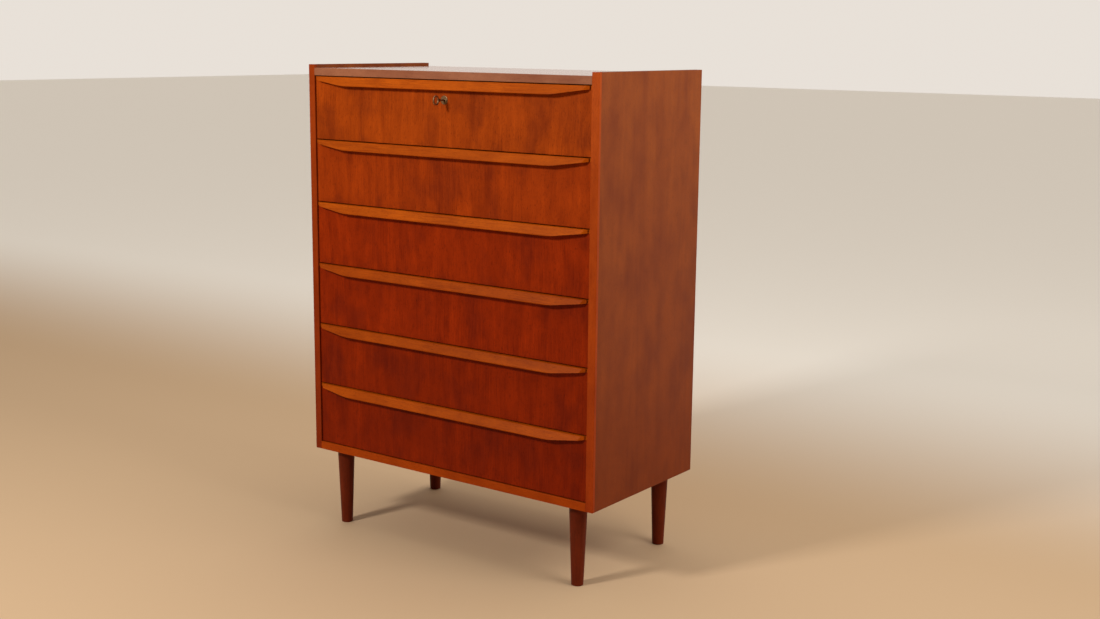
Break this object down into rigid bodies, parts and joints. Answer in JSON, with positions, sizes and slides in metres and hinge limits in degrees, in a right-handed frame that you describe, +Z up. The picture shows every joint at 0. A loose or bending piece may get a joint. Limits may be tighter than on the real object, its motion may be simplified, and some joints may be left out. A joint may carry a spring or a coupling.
{
  "type": "tall chest of drawers",
  "caption": "Tall wooden chest with full-width sliding drawers, a solid lip handle along each drawer's top edge, a key lock in the top drawer, and round tapered legs.",
  "frame": {"origin": "on the floor, at the middle of the whole object's footprint, which runs from the key's bow to the carcass's back edge", "axes": "+Z up; +X to the right of a person who faces the front; the drawers pull out along -Y"},
  "size_m": [0.84, 0.4505, 1.138],
  "materials": {
    "front_veneer": "book-matched veneer on blockboard, satin lacquer",
    "case_veneer": "straight veneer on blockboard, satin lacquer",
    "solid_teak": "solid teak, satin lacquer",
    "leg_teak": "turned solid wood, dark stain, satin",
    "drawer_wood": "planed beech, thin lacquer",
    "plywood": "birch plywood, unfinished",
    "brass": "aged brass",
    "steel": "zinc-plated steel"
  },
  "bodies": {
    "carcass": {"side_panel_left": "case_veneer", "side_panel_right": "case_veneer", "top_panel": "case_veneer", "bottom_panel": "case_veneer", "back_panel": "plywood", "lipping_left": "solid_teak", "lipping_right": "solid_teak", "lipping_top": "solid_teak", "lipping_bottom": "solid_teak", "leg_front_left": "leg_teak", "leg_front_right": "leg_teak", "leg_rear_left": "leg_teak", "leg_rear_right": "leg_teak", "leg_bolts": "steel", "leg_inserts": "brass", "carcass_dowels": "drawer_wood", "back_panel_screws": "steel", "drawer_runners": "drawer_wood", "runner_screws": "steel"},
    "drawer_1": {"drawer_1_front": "front_veneer", "drawer_1_handle": "solid_teak", "drawer_1_side_left": "drawer_wood", "drawer_1_side_right": "drawer_wood", "drawer_1_back": "drawer_wood", "drawer_1_bottom": "plywood", "lock_case": "steel", "lock_escutcheon": "brass", "lock_screws": "steel"},
    "drawer_2": {"drawer_2_front": "front_veneer", "drawer_2_handle": "solid_teak", "drawer_2_side_left": "drawer_wood", "drawer_2_side_right": "drawer_wood", "drawer_2_back": "drawer_wood", "drawer_2_bottom": "plywood"},
    "drawer_3": {"drawer_3_front": "front_veneer", "drawer_3_handle": "solid_teak", "drawer_3_side_left": "drawer_wood", "drawer_3_side_right": "drawer_wood", "drawer_3_back": "drawer_wood", "drawer_3_bottom": "plywood"},
    "drawer_4": {"drawer_4_front": "front_veneer", "drawer_4_handle": "solid_teak", "drawer_4_side_left": "drawer_wood", "drawer_4_side_right": "drawer_wood", "drawer_4_back": "drawer_wood", "drawer_4_bottom": "plywood"},
    "drawer_5": {"drawer_5_front": "front_veneer", "drawer_5_handle": "solid_teak", "drawer_5_side_left": "drawer_wood", "drawer_5_side_right": "drawer_wood", "drawer_5_back": "drawer_wood", "drawer_5_bottom": "plywood"},
    "drawer_6": {"drawer_6_front": "front_veneer", "drawer_6_handle": "solid_teak", "drawer_6_side_left": "drawer_wood", "drawer_6_side_right": "drawer_wood", "drawer_6_back": "drawer_wood", "drawer_6_bottom": "plywood"},
    "lock_bolt": {"lock_bolt": "brass"},
    "lock_key": {"lock_key": "brass"}
  },
  "joints": [
    {"name": "drawer_1_slide", "type": "slide", "parent": "carcass", "child": "drawer_1", "axis": [0, -1, 0], "range_m": [0, 0.29]},
    {"name": "drawer_2_slide", "type": "slide", "parent": "carcass", "child": "drawer_2", "axis": [0, -1, 0], "range_m": [0, 0.29]},
    {"name": "drawer_3_slide", "type": "slide", "parent": "carcass", "child": "drawer_3", "axis": [0, -1, 0], "range_m": [0, 0.29]},
    {"name": "drawer_4_slide", "type": "slide", "parent": "carcass", "child": "drawer_4", "axis": [0, -1, 0], "range_m": [0, 0.29]},
    {"name": "drawer_5_slide", "type": "slide", "parent": "carcass", "child": "drawer_5", "axis": [0, -1, 0], "range_m": [0, 0.29]},
    {"name": "drawer_6_slide", "type": "slide", "parent": "carcass", "child": "drawer_6", "axis": [0, -1, 0], "range_m": [0, 0.29]},
    {"name": "key_turn", "type": "hinge", "parent": "drawer_1", "child": "lock_key", "pos_m": [0, -0.18725, 1.067], "axis": [0, 1, 0], "range_deg": [0, 180]},
    {"name": "bolt_throw", "type": "slide", "parent": "drawer_1", "child": "lock_bolt", "axis": [0, 0, 1], "range_m": [0, 0.008]}
  ],
  "couplings": [
    {"joint": "bolt_throw", "follows": "key_turn", "m_per_rad": 0.002546}
  ]
}
